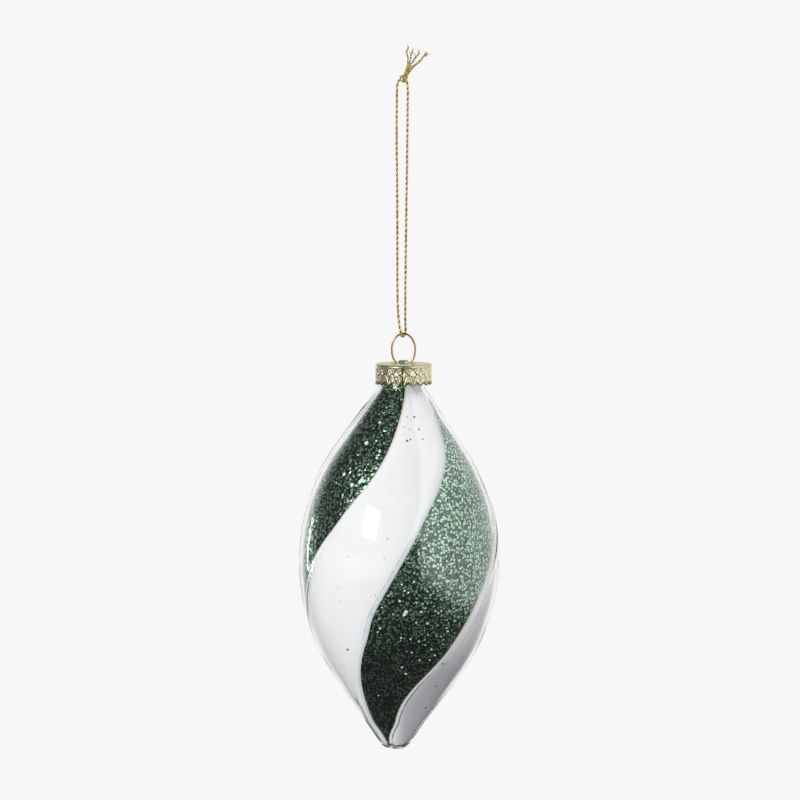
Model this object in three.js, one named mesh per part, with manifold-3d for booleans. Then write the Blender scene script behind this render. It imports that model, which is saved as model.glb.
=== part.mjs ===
// Icicle ornament: a clear blown-glass drop, lined with twisted white and glitter bands, under a
// pressed cap with a wire bail, on a tied thread loop.
// Millimetres, +Z up. The origin is the inside top of the thread loop, where a hook carries it.
// Band angles are in degrees from the front (-Y), and grow towards +X.

import * as THREE from "three";
import { mergeVertices } from "three/addons/utils/BufferGeometryUtils.js";
import Module from "manifold-3d";

const wasm = await Module();
wasm.setup();

// Clearances
const seatGap = 0.3;
const coatGap = 0.35;
const bandGap = 0.3;

// Glass drop
const bodyRadius = 35.5;
const bellyArcRadius = 70.8;
const flankAngle = 34.7;
const tipRadius = 7;
const neckRadius = 8.1;
const neckFillet = 3;
const neckLength = 6.4;
const glassWall = 1.3;
const rimRound = 0.4;
const glassLean = 1;
const neckOffset = -0.55;

// Raised white bands and the lining
const bandRaise = 0.4;
const bandRampWidth = 2.4;
const rampShareLimit = 0.25;
const gapShareLimit = 0.1;
const coatThickness = 0.5;
const twistLead = 400;
const raiseFadeLength = 6;
const tipShrink = 0.74;
const coatTipAngle = -75;

// Pressed cap
const capClearance = 0.85;
const capHeight = 7;
const capSheet = 0.5;
const capCornerRadius = 0.7;
const bossMargin = 0.15;
const bossHeight = 0.8;
const bossFootHeight = 0.1;
const bossTopShare = 0.6;
const capChamferShare = 0.3;
const scallopCount = 20;
const scallopDepth = 0.8;

// Wire bail
const bailWire = 0.7;
const bailSides = 8;
const bailWidth = 8.3;
const bailHeight = 10.6;
const bailWaist = 5.5;
const bailWaistHeight = 0.3;
const bailBellyShare = 0.46;
const bailFlareShare = 0.68;
const bailOffset = 0.75;
const bailPlay = 2;
const bailLegLength = 19;
const bailLegClearance = 0.45;
const legTipDraw = 0.2;
const legBow = 0.3;
const legShoulder = 0.35;
const legReachShare = 0.75;
const legBowShare = 0.45;
const legShoulderShare = 0.13;

// Thread loop, its knot and its frayed ends
const loopDrop = 88.1;
const threadDiameter = 0.9;
const threadSides = 8;
const stepsPerPoint = 3;
const knotWidth = 2.7;
const knotHeight = 2.5;
const knotCentre = new THREE.Vector3(0.8, 0, 1.95);
const knotWraps = 3;
const knotWrapHeight = 0.09;
const tailDiameter = 0.5;
const tailSides = 6;

// Places that follow from the sizes
const rad = THREE.MathUtils.degToRad;
const capTop = -loopDrop - bailHeight;
const neckTop = capTop - capSheet - seatGap - neckRadius * Math.sin(rad(glassLean));
const capRadius = neckRadius + Math.abs(neckOffset) + capClearance + capSheet;
const bossRadius = bailWaist / 2 - bailWire / 2 - seatGap - bossMargin;
const neckBore = neckRadius - glassWall - coatGap - coatThickness;
const bailLegReach = neckBore - Math.abs(neckOffset) - bailWire / 2 - bailLegClearance;

function smoothStep(value, from, to) {
  return THREE.MathUtils.smoothstep(value, from, to);
}

// Turns an indexed list of points into one closed mesh geometry.
function surface(points, faces) {
  const geometry = new THREE.BufferGeometry();
  geometry.setAttribute("position", new THREE.Float32BufferAttribute(points.flat(), 3));
  geometry.setIndex(faces.flat());
  return geometry;
}

// The glass profile from the tip to the neck, as points with the outward normal.
// Heights are from the widest ring.
const flank = rad(flankAngle);
const shoulder = {
  r: bodyRadius - bellyArcRadius * (1 - Math.cos(flank)),
  z: bellyArcRadius * Math.sin(flank),
};
const tipJoin = {
  r: tipRadius * Math.cos(flank),
  z: -shoulder.z - (shoulder.r - tipRadius * Math.cos(flank)) / Math.tan(flank),
};
const tipCentreZ = tipJoin.z + tipRadius * Math.sin(flank);
const neckJoin = {
  r: neckRadius + neckFillet * (1 - Math.cos(flank)),
  z: shoulder.z + (shoulder.r - neckRadius - neckFillet * (1 - Math.cos(flank))) / Math.tan(flank),
};
const neckBaseZ = neckJoin.z + neckFillet * Math.sin(flank);
const neckTopZ = neckBaseZ + neckLength;

function arcPoint(centreR, centreZ, radius, elevation, side = 1) {
  const nr = Math.cos(elevation);
  const nz = Math.sin(elevation);
  return { r: centreR + side * radius * nr, z: centreZ + side * radius * nz, nr, nz };
}

function profileRows() {
  const rows = [];
  const tipSteps = 6;
  const coneSteps = 3;
  const bellySteps = 14;
  const filletSteps = 3;
  for (let i = 0; i <= tipSteps; i++) {
    const elevation = THREE.MathUtils.lerp(-Math.PI / 2, -flank, i / tipSteps);
    rows.push(arcPoint(0, tipCentreZ, tipRadius, elevation));
  }
  for (let i = 1; i < coneSteps; i++) {
    rows.push(linePoint(tipJoin, { r: shoulder.r, z: -shoulder.z }, i / coneSteps, -flank));
  }
  for (let i = 0; i <= bellySteps; i++) {
    const elevation = THREE.MathUtils.lerp(-flank, flank, i / bellySteps);
    rows.push(arcPoint(bodyRadius - bellyArcRadius, 0, bellyArcRadius, elevation));
  }
  for (let i = 1; i < coneSteps; i++) {
    rows.push(linePoint(shoulder, neckJoin, i / coneSteps, flank));
  }
  for (let i = 0; i <= filletSteps; i++) {
    const elevation = THREE.MathUtils.lerp(flank, 0, i / filletSteps);
    rows.push(arcPoint(neckRadius + neckFillet, neckBaseZ, neckFillet, elevation, -1));
  }
  return rows;
}

function linePoint(from, to, share, elevation) {
  return {
    r: THREE.MathUtils.lerp(from.r, to.r, share),
    z: THREE.MathUtils.lerp(from.z, to.z, share),
    nr: Math.cos(elevation),
    nz: Math.sin(elevation),
  };
}

// The six bands round the drop: where each starts, at the widest ring.
const bands = [
  { name: "white_band_1", white: true, start: -61, columns: 5 },
  { name: "glitter_band_1", white: false, start: -1, columns: 6 },
  { name: "white_band_2", white: true, start: 65, columns: 5 },
  { name: "glitter_band_2", white: false, start: 122, columns: 4 },
  { name: "white_band_3", white: true, start: 180, columns: 4 },
  { name: "glitter_band_3", white: false, start: 240, columns: 6 },
];
const fullTurn = 360;
bands.forEach((band, i) => {
  const next = bands[(i + 1) % bands.length];
  band.end = i + 1 < bands.length ? next.start : next.start + fullTurn;
});

// How the bands leave an even twist: degrees added by the far height, from the near one on. Heights
// are shares of the way from the widest ring, up to the neck's base or, below 0, down to the tip's centre.
const neckTwist = { degrees: 23.4, near: 0.3, power: 1.25 };
const upperEndShift = { degrees: 6, near: 0, far: 0.32 };
const neckEndShift = { degrees: -14, near: 0.45, far: 1 };
const lowerStartShift = { degrees: 3, near: -0.23, far: -0.43 };
const footEndShift = { degrees: -15, near: -0.45, far: -0.92 };

// Heights where the glitter bands start to draw in towards the tip, and where they are narrowest.
const tipDrawStartZ = tipCentreZ + 0.6 * tipRadius;
const tipDrawEndZ = tipCentreZ - 0.7 * tipRadius;

// Radii near the tip's pole where the white bands start to rise, and where they are at full height.
const raiseStartRadius = 0.1 * tipRadius;
const raiseFullRadius = 0.6 * tipRadius;

function heightShare(z) {
  return z > 0 ? z / neckBaseZ : -z / tipCentreZ;
}

function shiftAt(shift, z) {
  const side = Math.sign(shift.far);
  return shift.degrees * smoothStep(side * heightShare(z), side * shift.near, side * shift.far);
}

// How far the bands have turned at a height: one turn per lead, and more towards the neck.
function twistAt(z) {
  const height = THREE.MathUtils.clamp(z, tipCentreZ - tipRadius, neckBaseZ);
  const rise = Math.max(0, heightShare(height) - neckTwist.near) / (1 - neckTwist.near);
  return (fullTurn * height) / twistLead + neckTwist.degrees * rise ** neckTwist.power;
}

// Where a glitter band starts and ends at a height. It narrows to a sliver at the tip.
function glitterEdges(band, z) {
  const start = band.start + shiftAt(lowerStartShift, z);
  const upperEnd = band.end + shiftAt(upperEndShift, z) + shiftAt(neckEndShift, z);
  const end = upperEnd + shiftAt(footEndShift, z);
  const draw = (tipShrink * (end - start) * (1 - smoothStep(z, tipDrawEndZ, tipDrawStartZ))) / 2;
  return { start: start + draw + twistAt(z), end: end - draw + twistAt(z) };
}

function bandEdges(index, z) {
  const band = bands[index];
  if (!band.white) {
    return glitterEdges(band, z);
  }
  const before = bands[(index + bands.length - 1) % bands.length];
  const after = bands[index + 1];
  const start = glitterEdges(before, z).end - (index === 0 ? fullTurn : 0);
  return { start, end: glitterEdges(after, z).start };
}

// The columns of a band at one height: angle, and how far its surface is raised, from 0 to 1.
function bandColumns(index, row, inset = 0) {
  const band = bands[index];
  const edges = bandEdges(index, row.z);
  const width = edges.end - edges.start;
  const side = Math.min(THREE.MathUtils.radToDeg(inset / row.r), gapShareLimit * width);
  const start = edges.start + side;
  const end = edges.end - side;
  const columns = [];
  if (!band.white) {
    for (let i = 0; i <= band.columns; i++) {
      columns.push({ angle: THREE.MathUtils.lerp(start, end, i / band.columns), lift: 0 });
    }
    return columns;
  }
  const rampAngle = THREE.MathUtils.radToDeg(bandRampWidth / row.r);
  const ramp = Math.min(rampAngle, rampShareLimit * width);
  const nearTip = smoothStep(row.r, raiseStartRadius, raiseFullRadius);
  const fade = nearTip * (1 - smoothStep(row.z, neckJoin.z - raiseFadeLength, neckJoin.z));
  columns.push({ angle: start, lift: 0 });
  for (let i = 0; i < band.columns; i++) {
    const share = i / (band.columns - 1);
    columns.push({ angle: THREE.MathUtils.lerp(start + ramp, end - ramp, share), lift: fade });
  }
  columns.push({ angle: end, lift: 0 });
  return columns;
}

// A point of the drop at one row and column, pushed in by depth along the profile's normal.
function dropPoint(row, column, depth) {
  const push = bandRaise * column.lift - depth;
  const r = row.r + push * row.nr;
  const angle = rad(column.angle);
  return [r * Math.sin(angle), -r * Math.cos(angle), row.z + push * row.nz];
}

// Joins two rings of points with quads. Both rings have the same count.
function quadStrip(faces, lower, upper, closed) {
  const count = lower.length;
  const last = closed ? count : count - 1;
  for (let i = 0; i < last; i++) {
    const j = (i + 1) % count;
    faces.push([lower[i], lower[j], upper[j]], [lower[i], upper[j], upper[i]]);
  }
}

function addRing(points, ring) {
  return ring.map((point) => points.push(point) - 1);
}

function fan(faces, pole, ring, flip) {
  ring.forEach((vertex, i) => {
    const next = ring[(i + 1) % ring.length];
    faces.push(flip ? [pole, next, vertex] : [pole, vertex, next]);
  });
}

function glassGeometry() {
  const points = [];
  const faces = [];
  const rows = profileRows().slice(1);
  const ringAt = (row, depth) => bands.flatMap((band, i) => bandColumns(i, row).slice(0, -1))
    .map((column) => dropPoint(row, column, depth));
  const neck = { r: neckRadius, nr: 1, nz: 0 };
  const outer = rows.map((row) => ringAt(row, 0));
  outer.push(ringAt({ ...neck, z: neckTopZ - rimRound }, 0));
  outer.push(ringAt({ ...neck, z: neckTopZ }, rimRound));
  outer.push(ringAt({ ...neck, z: neckTopZ }, glassWall - rimRound));
  outer.push(ringAt({ ...neck, z: neckTopZ - rimRound }, glassWall));
  const inner = rows.map((row) => ringAt(row, glassWall)).reverse();
  const rings = [...outer, ...inner].map((ring) => addRing(points, ring));
  for (let i = 0; i + 1 < rings.length; i++) {
    quadStrip(faces, rings[i], rings[i + 1], true);
  }
  const tip = tipCentreZ - tipRadius;
  const outerPole = points.push([0, 0, tip]) - 1;
  const innerPole = points.push([0, 0, tip + glassWall]) - 1;
  fan(faces, outerPole, rings[0], true);
  fan(faces, innerPole, rings[rings.length - 1], false);
  return surface(points, faces);
}

function coatGeometry(index) {
  const points = [];
  const faces = [];
  const rows = profileRows().filter((row) => row.nz > Math.sin(rad(coatTipAngle)) - 1e-6);
  const outerDepth = glassWall + coatGap;
  const innerDepth = outerDepth + coatThickness;
  const stripAt = (row, depth) => bandColumns(index, row, bandGap / 2)
    .map((column) => dropPoint(row, column, depth));
  const rings = rows.map((row) => {
    const outer = addRing(points, stripAt(row, outerDepth));
    const inner = addRing(points, stripAt(row, innerDepth)).reverse();
    return [...outer, ...inner];
  });
  for (let i = 0; i + 1 < rings.length; i++) {
    quadStrip(faces, rings[i], rings[i + 1], true);
  }
  capStrip(faces, rings[0], true);
  capStrip(faces, rings[rings.length - 1], false);
  return surface(points, faces);
}

// Closes the end of a coat strip, whose ring runs along the outside and back along the inside.
function capStrip(faces, ring, flip) {
  const count = ring.length;
  for (let i = 0; i + 1 < count / 2; i++) {
    const quad = [ring[i], ring[i + 1], ring[count - 2 - i], ring[count - 1 - i]];
    if (flip) {
      quad.reverse();
    }
    faces.push([quad[0], quad[1], quad[2]], [quad[0], quad[2], quad[3]]);
  }
}

// The cap as a turned shell with a scalloped lower edge, before its slots are cut.
function capShell() {
  const columnsPerScallop = 4;
  const count = scallopCount * columnsPerScallop;
  const corner = capCornerRadius;
  const chamfer = capChamferShare * corner;
  const inside = capRadius - capSheet;
  const skirt = capHeight - scallopDepth;
  const profile = [
    [bossTopShare * bossRadius, bossHeight, 0],
    [bossRadius, bossFootHeight, 0],
    [capRadius - corner, 0, 0],
    [capRadius - chamfer, -chamfer, 0],
    [capRadius, -corner, 0],
    [capRadius, -skirt / 2, 0],
    [capRadius, -skirt, 1],
    [inside, -skirt, 1],
    [inside, -capSheet, 0],
    [bossRadius, -capSheet, 0],
  ];
  const points = [];
  const faces = [];
  const rings = profile.map(([r, z, scallop]) => {
    const ring = [];
    for (let i = 0; i < count; i++) {
      const angle = (2 * Math.PI * i) / count;
      const tooth = Math.abs(Math.cos((scallopCount * angle) / 2));
      ring.push([r * Math.cos(angle), r * Math.sin(angle), z - scallop * scallopDepth * tooth]);
    }
    return addRing(points, ring);
  });
  for (let i = 0; i + 1 < rings.length; i++) {
    quadStrip(faces, rings[i + 1], rings[i], true);
  }
  const topPole = points.push([0, 0, bossHeight]) - 1;
  const underPole = points.push([0, 0, -capSheet]) - 1;
  fan(faces, topPole, rings[0], false);
  fan(faces, underPole, rings[rings.length - 1], true);
  return surface(points, faces);
}

function toManifold(geometry) {
  const bare = geometry.clone();
  bare.deleteAttribute("normal");
  bare.deleteAttribute("uv");
  const merged = mergeVertices(bare, 1e-4);
  return new wasm.Manifold(new wasm.Mesh({
    numProp: 3,
    vertProperties: new Float32Array(merged.attributes.position.array),
    triVerts: new Uint32Array(merged.index.array),
  }));
}

function fromManifold(solid) {
  const mesh = solid.getMesh();
  const geometry = new THREE.BufferGeometry();
  geometry.setAttribute("position", new THREE.BufferAttribute(mesh.vertProperties, 3));
  geometry.setIndex(new THREE.BufferAttribute(mesh.triVerts, 1));
  return geometry;
}

// Where the bail flares out over its waist. The cap can slide up the wire as far as this, and its
// slots let it pass.
const bailFlareHeight = bailPlay + bossFootHeight;
const bailFlareHalf = THREE.MathUtils.lerp(bailWaist / 2, bailWidth / 2, bailFlareShare);

// The bail's centreline, from one leg's end over the arch to the other's, as half widths and
// heights over the cap's top.
function bailPoints() {
  const half = bailWidth / 2;
  const bellyHeight = bailBellyShare * bailHeight;
  const side = [
    [bailLegReach - legTipDraw, -bailLegLength],
    [bailLegReach, -legReachShare * bailLegLength],
    [bailLegReach - legBow, -legBowShare * bailLegLength],
    [bailWaist / 2 + legShoulder, -legShoulderShare * bailLegLength],
    [bailWaist / 2, bailWaistHeight],
    [bailFlareHalf, bailFlareHeight],
  ];
  const archSteps = 8;
  const arch = [];
  for (let i = 0; i <= archSteps; i++) {
    const angle = (Math.PI * i) / archSteps;
    const height = bellyHeight + (bailHeight - bellyHeight) * Math.sin(angle);
    arch.push([-half * Math.cos(angle), height]);
  }
  const left = side.map(([x, z]) => [-x, z]);
  const right = [...side].reverse();
  return [...left, ...arch, ...right].map(([x, z]) => new THREE.Vector3(x, 0, z));
}

// A smooth curve whose steps follow its points, so they lie closer in the bends.
class SteppedCurve extends THREE.CatmullRomCurve3 {
  getUtoTmapping(u) {
    return u;
  }
}

function roundSection(diameter, sides) {
  const shape = new THREE.Shape();
  for (let i = 0; i < sides; i++) {
    const angle = (2 * Math.PI * i) / sides;
    const x = (diameter / 2) * Math.cos(angle);
    const y = (diameter / 2) * Math.sin(angle);
    if (i === 0) {
      shape.moveTo(x, y);
    } else {
      shape.lineTo(x, y);
    }
  }
  shape.closePath();
  return shape;
}

function wire(points, diameter, sides, steps) {
  const curve = new SteppedCurve(points, false, "centripetal");
  return new THREE.ExtrudeGeometry(roundSection(diameter, sides), {
    steps,
    bevelEnabled: false,
    extrudePath: curve,
    curveSegments: 1,
  });
}

// The thread's route: out of the knot, down the left strand, under the bail's top wire and up the
// right strand to the knot.
const threadRoute = [
  [-0.62, 0, 1.15],
  [-1.32, -0.03, 0.1],
  [-1.52, -0.06, -1.9],
  [-1.6, -0.1, -6],
  [-1.66, -0.12, -14],
  [-1.64, -0.15, -22],
  [-1.55, -0.2, -30.5],
  [-1.48, -0.25, -39],
  [-1.44, -0.3, -47.5],
  [-1.42, -0.38, -56],
  [-1.41, -0.52, -64.5],
  [-1.38, -0.8, -72.5],
  [-1.22, -1.2, -79.5],
  [-0.76, -1.55, -84.6],
  [-0.26, -1.69, -87.3],
  [-0.1, -1.37, -88.42],
  [0.21, -0.77, -88.99],
  [0.6, 0, -89.2],
  [0.99, 0.77, -88.99],
  [1.3, 1.37, -88.42],
  [1.46, 1.69, -87.3],
  [1.42, 1.55, -84.6],
  [1.38, 1.2, -79.5],
  [1.42, 0.8, -72.5],
  [1.5, 0.52, -64.5],
  [1.6, 0.38, -56],
  [1.7, 0.3, -47.5],
  [1.82, 0.25, -39],
  [1.95, 0.2, -30.5],
  [2.06, 0.15, -22],
  [2.14, 0.12, -14],
  [2.22, 0.1, -6],
  [2.26, 0.06, -2],
  [1.92, 0, 0.62],
];

// The frayed ends above the knot, each from its root to its tip.
const tailRoutes = [
  [[0.55, 0.1, 3.55], [0.9, 0.2, 5.6], [1.5, 0.5, 8.6], [2.3, 0.9, 12.7]],
  [[1.05, -0.35, 3.5], [1.7, -0.6, 5.3], [2.7, -0.9, 8.2], [3.7, -1.2, 11.4]],
  [[1.4, 0.35, 3.35], [2.3, 0.6, 5], [4.1, 1, 7.9], [6.5, 1.3, 11.1]],
  [[1.85, -0.2, 3.1], [3, -0.4, 4.6], [5.5, -0.7, 7.4], [8.7, -0.8, 10.6]],
  [[2.2, 0.4, 2.7], [3.4, 0.8, 3.7], [5, 1.3, 5.4], [6.6, 1.9, 7.6]],
];

function toVectors(list) {
  return list.map(([x, y, z]) => new THREE.Vector3(x, y, z));
}

// An overhand knot as one lumpy solid: a ball with two wraps of thread crossing round it.
function knotGeometry() {
  const geometry = new THREE.SphereGeometry(1, 16, 10);
  const position = geometry.attributes.position;
  for (let i = 0; i < position.count; i++) {
    const point = new THREE.Vector3().fromBufferAttribute(position, i);
    const around = Math.atan2(point.y, point.x);
    const down = Math.acos(THREE.MathUtils.clamp(point.z, -1, 1));
    const wave = Math.cos(knotWraps * down + around) * Math.sin(down);
    const ridge = 1 - knotWrapHeight * (1 - wave);
    position.setXYZ(
      i,
      (point.x * ridge * knotWidth) / 2,
      (point.y * ridge * knotWidth) / 2,
      (point.z * ridge * knotHeight) / 2,
    );
  }
  return geometry;
}

const materials = {
  glass: { color: 0xf2f6f5, roughness: 0.03, metalness: 0, transparent: true, opacity: 0.3 },
  white: { color: 0xededf0, roughness: 0.25, metalness: 0 },
  glitter: { color: 0x24483a, roughness: 0.45, metalness: 0.4 },
  cap: { color: 0xd0c28a, roughness: 0.3, metalness: 0.9 },
  bail: { color: 0xb08040, roughness: 0.3, metalness: 0.9 },
  thread: { color: 0xc8a94a, roughness: 0.5, metalness: 0.3 },
};

function piece(name, geometry, material) {
  geometry.computeVertexNormals();
  const mesh = new THREE.Mesh(geometry, new THREE.MeshStandardMaterial(materials[material]));
  mesh.name = name;
  return mesh;
}

// The glass drop and its lining lean together about the neck's rim.
function drop() {
  const group = new THREE.Group();
  group.position.set(bailOffset + neckOffset, 0, neckTop);
  group.rotation.y = rad(glassLean);
  const body = new THREE.Group();
  body.position.z = -neckTopZ;
  body.add(piece("glass_body", glassGeometry(), "glass"));
  bands.forEach((band, i) => {
    body.add(piece(band.name, coatGeometry(i), band.white ? "white" : "glitter"));
  });
  group.add(body);
  return group;
}

function cap() {
  const slotInner = bailWaist / 2 - bailWire / 2 - seatGap;
  const slotOuter = bailFlareHalf + bailWire / 2 + seatGap;
  const slotWidth = bailWire + 2 * seatGap;
  const slotTall = 4 * capSheet + 2 * bossHeight;
  let solid = toManifold(capShell());
  for (const side of [-1, 1]) {
    const cutter = new THREE.BoxGeometry(slotOuter - slotInner, slotWidth, slotTall);
    cutter.translate((side * (slotInner + slotOuter)) / 2, 0, 0);
    solid = solid.subtract(toManifold(cutter));
  }
  const mesh = piece("cap", fromManifold(solid), "cap");
  mesh.position.set(bailOffset, 0, capTop);
  return mesh;
}

function bail() {
  const points = bailPoints();
  const steps = stepsPerPoint * (points.length - 1);
  const mesh = piece("bail", wire(points, bailWire, bailSides, steps), "bail");
  mesh.position.set(bailOffset, 0, capTop);
  return mesh;
}

function thread() {
  const group = new THREE.Group();
  const route = toVectors(threadRoute);
  const steps = stepsPerPoint * (route.length - 1);
  group.add(piece("thread_loop", wire(route, threadDiameter, threadSides, steps), "thread"));
  const knot = piece("thread_knot", knotGeometry(), "thread");
  knot.position.copy(knotCentre);
  group.add(knot);
  tailRoutes.forEach((list, i) => {
    const points = toVectors(list);
    const tailSteps = stepsPerPoint * (points.length - 1);
    group.add(piece(`thread_tail_${i + 1}`, wire(points, tailDiameter, tailSides, tailSteps), "thread"));
  });
  return group;
}

const ornament = new THREE.Group();
ornament.add(thread(), bail(), cap(), drop());

export default ornament;
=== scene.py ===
import math
import random
from collections import namedtuple

import bpy
import numpy as np
from mathutils import Matrix, Vector


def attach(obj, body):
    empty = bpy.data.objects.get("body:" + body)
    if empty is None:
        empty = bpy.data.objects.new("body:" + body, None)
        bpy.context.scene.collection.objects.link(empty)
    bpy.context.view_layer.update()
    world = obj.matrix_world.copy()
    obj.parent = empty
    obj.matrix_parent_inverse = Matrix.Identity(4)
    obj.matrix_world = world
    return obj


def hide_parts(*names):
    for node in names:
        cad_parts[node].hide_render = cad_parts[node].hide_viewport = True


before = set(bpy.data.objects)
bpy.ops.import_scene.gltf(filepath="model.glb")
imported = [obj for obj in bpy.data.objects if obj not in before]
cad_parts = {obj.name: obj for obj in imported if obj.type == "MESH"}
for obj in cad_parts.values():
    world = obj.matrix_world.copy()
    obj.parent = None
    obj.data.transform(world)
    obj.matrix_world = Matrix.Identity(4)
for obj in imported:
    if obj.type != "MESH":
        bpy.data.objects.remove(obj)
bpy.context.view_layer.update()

# Icicle ornament. Its sizes are in millimetres, as in the part's source, and become metres in the meshes.
# Distances of the camera, the lights and the floor are in metres. Band angles are in degrees from the
# front (-Y), and grow towards +X.
METRES = Matrix.Scale(0.001, 4)

# Glass drop
BODY_RADIUS = 35.5
BELLY_ARC_RADIUS = 70.8
FLANK = math.radians(34.7)
TIP_RADIUS = 7
NECK_RADIUS = 8.1
NECK_FILLET = 3
NECK_LENGTH = 6.4
GLASS_WALL = 1.3
GLASS_LEAN = math.radians(1)
NECK_OFFSET = -0.55
SEAT_GAP = 0.3

# Raised white bands and the lining
BAND_RAISE = 0.4
RAMP_WIDTH = 3.8
RAMP_SHARE_LIMIT = 0.25
COAT_GAP = 0.12
COAT_THICKNESS = 0.45
BAND_GAP = 0.06
FULL_TURN = 360
TWIST_LEAD = 400
RAISE_FADE_LENGTH = 6
TIP_SHRINK = 0.74
TIP_SHRINK_START = 0.6
TIP_SHRINK_END = -0.7
TIP_FLAT_SHARE = 0.1
TIP_RAISED_SHARE = 0.6
INSET_SHARE_LIMIT = 0.1
SMALLEST_RADIUS = 0.01
DROP_STEP = 1.2
COAT_NECK_REACH = 3

# Cap and bail
CAP_RADIUS = 10
CAP_HEIGHT = 7
CAP_SHEET = 0.45
SOLID_CAP_SHEET = 0.5
CAP_CORNER = 0.7
BAIL_WIRE = 0.7
BAIL_WIDTH = 8.3
BAIL_HEIGHT = 10.6
BAIL_OFFSET = 0.75
LOOP_DROP = 88.1
CAP_TOP = -LOOP_DROP - BAIL_HEIGHT

# Thread
THREAD_DIAMETER = 0.9


# Camera

FOCAL_LENGTH = 165
SENSOR_WIDTH = 36
CAMERA_TARGET = METRES @ Vector((-0.5, 0, -111.7))
CAMERA_DISTANCE = 1.298
CAMERA_RISE = math.radians(5.5)
NEAREST_SEEN = 0.01
FARTHEST_SEEN = 50


def add_camera():
    """A long lens, a little above the drop, on the photograph's frame."""
    data = bpy.data.cameras.new("camera")
    data.lens = FOCAL_LENGTH
    data.sensor_width = SENSOR_WIDTH
    data.clip_start = NEAREST_SEEN
    data.clip_end = FARTHEST_SEEN
    back = Vector((0, -math.cos(CAMERA_RISE), math.sin(CAMERA_RISE)))
    camera = bpy.data.objects.new("camera", data)
    bpy.context.scene.collection.objects.link(camera)
    camera.location = CAMERA_TARGET + CAMERA_DISTANCE * back
    camera.rotation_euler = (-back).to_track_quat("-Z", "Y").to_euler()
    bpy.context.scene.camera = camera


# Helpers for shapes

MERGE_DISTANCE = 0.001


def smooth(value, start, end):
    """A soft step from 0 to 1 as the value goes from start to end."""
    share = min(1.0, max(0.0, (value - start) / (end - start)))
    return share * share * (3 - 2 * share)


def lerp(start, end, share):
    """The value at a share of the way from start to end."""
    return start + (end - start) * share


def activate(obj):
    """Makes a piece the only one selected, and the active one."""
    bpy.ops.object.select_all(action="DESELECT")
    obj.select_set(True)
    bpy.context.view_layer.objects.active = obj


def modify(obj, kind, **settings):
    """Adds a modifier and applies it."""
    activate(obj)
    modifier = obj.modifiers.new(kind.lower(), kind)
    for name, value in settings.items():
        setattr(modifier, name, value)
    bpy.ops.object.modifier_apply(modifier=modifier.name)


def merge_doubles(obj):
    """Closes seams and poles where points lie on each other."""
    activate(obj)
    bpy.ops.object.mode_set(mode="EDIT")
    bpy.ops.mesh.select_all(action="SELECT")
    bpy.ops.mesh.remove_doubles(threshold=MERGE_DISTANCE)
    bpy.ops.object.mode_set(mode="OBJECT")


def join(pieces):
    """Makes one object of several."""
    activate(pieces[0])
    for piece in pieces:
        piece.select_set(True)
    bpy.ops.object.join()
    return pieces[0]


def settle(obj, name, body, material, nodes=()):
    """Gives a finished piece its name, finish and body. Its place goes into its mesh."""
    obj.name = name
    obj.data.name = name
    obj.data.transform(obj.matrix_world)
    obj.matrix_world = Matrix.Identity(4)
    obj.data.materials.clear()
    obj.data.materials.append(material)
    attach(obj, body)
    if nodes:
        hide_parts(*nodes)


def shade(obj, angle=None):
    """Shades a piece smooth, but for edges sharper than an angle in degrees."""
    activate(obj)
    if angle is None:
        bpy.ops.object.shade_smooth()
    else:
        bpy.ops.object.shade_smooth_by_angle(angle=math.radians(angle))


def wrapped_grid(columns, rows, place):
    """A grid primitive whose points go where place(column, row) says, in millimetres."""
    bpy.ops.mesh.primitive_grid_add(x_subdivisions=columns, y_subdivisions=rows, size=1)
    obj = bpy.context.object
    points = np.empty((len(obj.data.vertices), 3))
    obj.data.vertices.foreach_get("co", points.ravel())
    steps = np.rint((points[:, :2] + 0.5) * (columns, rows)).astype(int)
    placed = np.array([place(int(i), int(j)) for i, j in steps])
    obj.data.vertices.foreach_set("co", placed.ravel())
    obj.data.update()
    return obj, steps


def point_values(obj, name, values):
    """Stores one number per point, for a material to read."""
    attribute = obj.data.attributes.new(name, "FLOAT", "POINT")
    attribute.data.foreach_set("value", np.asarray(values, np.float32))


def mesh_piece(points, faces):
    """An object from points and faces."""
    mesh = bpy.data.meshes.new("mesh")
    mesh.from_pydata(points, [], faces)
    mesh.update()
    obj = bpy.data.objects.new("piece", mesh)
    bpy.context.scene.collection.objects.link(obj)
    return obj


# Threads and wires

def smooth_line(points, step):
    """Points along a smooth curve through the given ones, about a step apart."""
    line = [Vector(p) for p in points]
    line = [2 * line[0] - line[1], *line, 2 * line[-1] - line[-2]]
    out = []
    for before, start, end, after in zip(line, line[1:], line[2:], line[3:]):
        count = max(2, round((end - start).length / step))
        for i in range(count):
            t = i / count
            out.append(0.5 * (2 * start + (end - before) * t
                              + (2 * before - 5 * start + 4 * end - after) * t ** 2
                              + (3 * start - before - 3 * end + after) * t ** 3))
    out.append(line[-2])
    return out


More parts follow.
